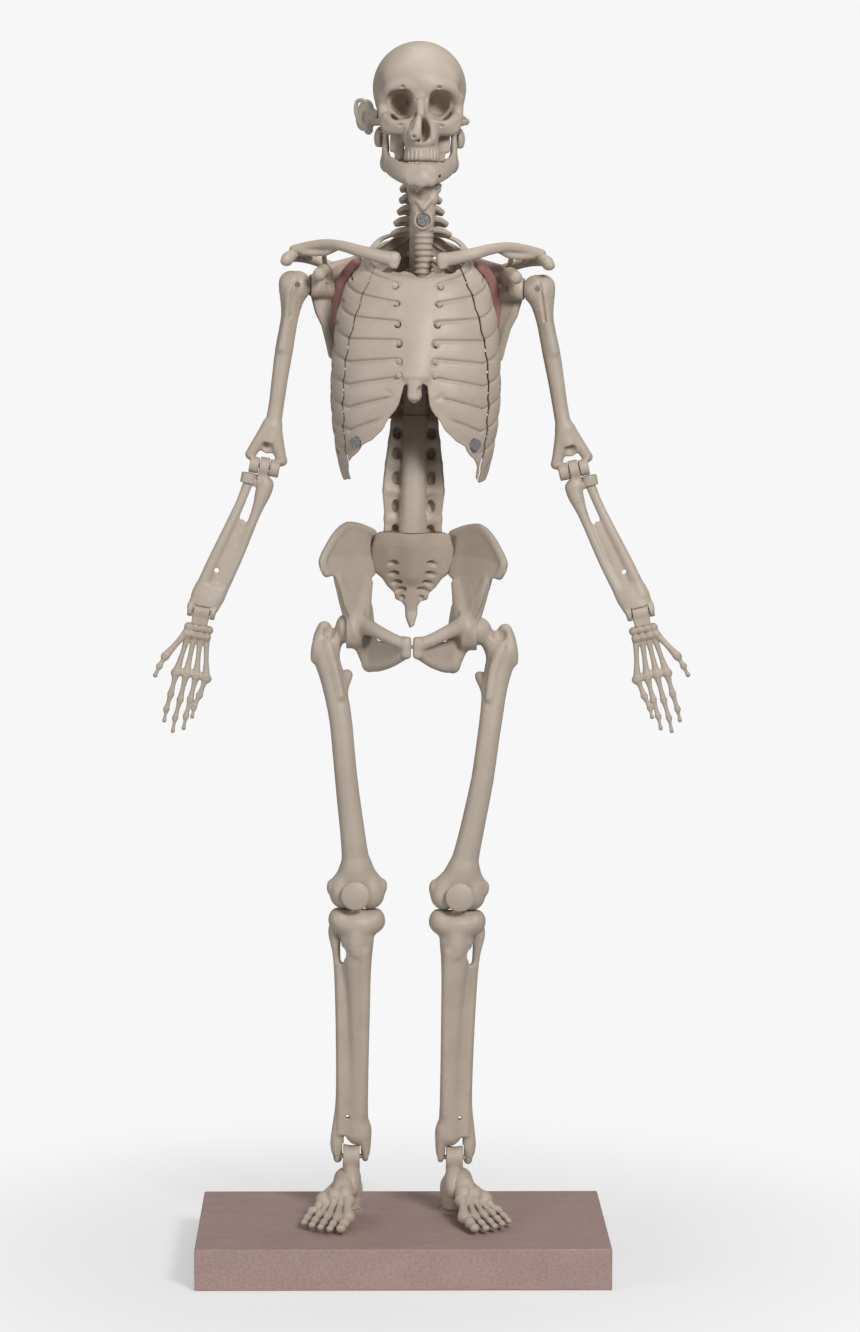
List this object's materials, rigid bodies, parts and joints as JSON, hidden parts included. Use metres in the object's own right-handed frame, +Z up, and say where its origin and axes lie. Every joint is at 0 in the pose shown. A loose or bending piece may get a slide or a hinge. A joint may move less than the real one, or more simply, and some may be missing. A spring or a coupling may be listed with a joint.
{
  "type": "human skeleton model",
  "caption": "Standing human skeleton model on a rectangular board, with hinged ankles, knees, hip, shoulders, elbows and wrists, a turning head and an opening jaw.",
  "frame": {"origin": "centre of the board's underside, on the surface it stands on", "axes": "+Z up along the figure, +X towards the figure's left, -Y the way the figure faces"},
  "size_m": [0.3321, 0.1524, 0.7567],
  "materials": {
    "board": "thin greyish-pink stain, satin, fine grain along the width",
    "bone": "cast plastic, taupe, satin with fine grain",
    "muscle": "cast plastic, dusty rose, satin",
    "cartilage": "cast plastic, slightly paler than the bone",
    "steel": "bright plated steel"
  },
  "bodies": {
    "stand": {"base_board": "board", "heel_disc_left": "bone", "heel_disc_right": "bone", "heel_screw_left": "steel", "heel_screw_right": "steel", "foot_left": "bone", "foot_right": "bone"},
    "leg_lower_left": {"shin_left": "bone", "ankle_pin_left": "steel"},
    "leg_upper_left": {"femur_left": "bone", "knee_pin_left": "steel", "patella_left": "bone"},
    "leg_lower_right": {"shin_right": "bone", "ankle_pin_right": "steel"},
    "leg_upper_right": {"femur_right": "bone", "knee_pin_right": "steel", "patella_right": "bone"},
    "torso": {"hip_bone_left": "bone", "hip_bone_right": "bone", "hip_pin_left": "steel", "hip_pin_right": "steel", "pubic_link": "steel", "sacrum": "bone", "lumbar_spine": "bone", "thoracic_spine": "bone", "rib_cage": "bone", "breastplate": "bone", "breastplate_screw_left": "steel", "breastplate_screw_right": "steel", "cervical_spine": "bone", "larynx": "bone", "larynx_screw": "steel", "neck_pin": "steel", "clavicle_left": "bone", "clavicle_right": "bone", "scapula_left": "bone", "scapula_right": "bone", "muscle_pad_left": "muscle", "muscle_pad_right": "muscle"},
    "shoulder_link_left": {"shoulder_link_left": "steel"},
    "arm_upper_left": {"humerus_left": "bone", "shoulder_pin_left": "steel", "elbow_pin_left": "steel"},
    "arm_lower_left": {"forearm_left": "bone", "wrist_pin_left": "steel"},
    "hand_left": {"hand_left": "bone"},
    "shoulder_link_right": {"shoulder_link_right": "steel"},
    "arm_upper_right": {"humerus_right": "bone", "shoulder_pin_right": "steel", "elbow_pin_right": "steel"},
    "arm_lower_right": {"forearm_right": "bone", "wrist_pin_right": "steel"},
    "hand_right": {"hand_right": "bone"},
    "head": {"skull": "bone", "nose_wing": "cartilage", "ear": "bone", "jaw_pin_left": "steel", "jaw_pin_right": "steel"},
    "jaw": {"jaw": "bone"}
  },
  "joints": [
    {"name": "ankle_left", "type": "hinge", "parent": "stand", "child": "leg_lower_left", "pos_m": [0.03301, 0.014, 0.06194], "axis": [0.9999, 0, -0.014], "range_deg": [-6, 12]},
    {"name": "ankle_right", "type": "hinge", "parent": "stand", "child": "leg_lower_right", "pos_m": [-0.03198, 0.014, 0.06285], "axis": [0.9999, 0, -0.014], "range_deg": [-6, 12]},
    {"name": "knee_left", "type": "hinge", "parent": "leg_lower_left", "child": "leg_upper_left", "pos_m": [0.03427, 0.002, 0.23094], "axis": [-0.9999, 0, 0.014], "range_deg": [0, 70]},
    {"name": "knee_right", "type": "hinge", "parent": "leg_lower_right", "child": "leg_upper_right", "pos_m": [-0.02852, 0.002, 0.23182], "axis": [-0.9999, 0, 0.014], "range_deg": [0, 70]},
    {"name": "hip_left", "type": "hinge", "parent": "leg_upper_left", "child": "torso", "pos_m": [0.04438, 0.006, 0.39582], "axis": [0.9999, 0, -0.014], "range_deg": [-5, 75]},
    {"name": "shoulder_swing_left", "type": "hinge", "parent": "torso", "child": "shoulder_link_left", "pos_m": [0.08172, 0.012, 0.60632], "axis": [-0.9999, 0, 0.014], "range_deg": [-20, 80]},
    {"name": "shoulder_spread_left", "type": "hinge", "parent": "shoulder_link_left", "child": "arm_upper_left", "pos_m": [0.08172, 0.012, 0.60632], "axis": [0, -1, 0], "range_deg": [-3, 55]},
    {"name": "elbow_left", "type": "hinge", "parent": "arm_upper_left", "child": "arm_lower_left", "pos_m": [0.10532, 0.01, 0.4953], "axis": [-0.9781, 0, -0.2079], "range_deg": [0, 95]},
    {"name": "wrist_left", "type": "hinge", "parent": "arm_lower_left", "child": "hand_left", "pos_m": [0.14639, 0.001, 0.40741], "axis": [-0.9781, 0, -0.2079], "range_deg": [-40, 55]},
    {"name": "shoulder_swing_right", "type": "hinge", "parent": "torso", "child": "shoulder_link_right", "pos_m": [-0.06547, 0.012, 0.60837], "axis": [-0.9999, 0, 0.014], "range_deg": [-20, 80]},
    {"name": "shoulder_spread_right", "type": "hinge", "parent": "shoulder_link_right", "child": "arm_upper_right", "pos_m": [-0.06547, 0.012, 0.60837], "axis": [0, 1, 0], "range_deg": [-3, 55]},
    {"name": "elbow_right", "type": "hinge", "parent": "arm_upper_right", "child": "arm_lower_right", "pos_m": [-0.08596, 0.01, 0.49674], "axis": [-0.9836, 0, 0.1805], "range_deg": [0, 95]},
    {"name": "wrist_right", "type": "hinge", "parent": "arm_lower_right", "child": "hand_right", "pos_m": [-0.12455, 0.001, 0.40774], "axis": [-0.9836, 0, 0.1805], "range_deg": [-40, 55]},
    {"name": "head_turn", "type": "hinge", "parent": "torso", "child": "head", "pos_m": [0.00931, 0.008, 0.69234], "axis": [0.014, 0, 0.9999], "range_deg": [-65, 65]},
    {"name": "jaw_open", "type": "hinge", "parent": "head", "child": "jaw", "pos_m": [0.00945, 0.003, 0.70183], "axis": [0.9999, 0, -0.014], "range_deg": [0, 7]}
  ],
  "couplings": [
    {"joint": "ankle_right", "follows": "ankle_left", "ratio": 1},
    {"joint": "knee_right", "follows": "knee_left", "ratio": 1}
  ]
}
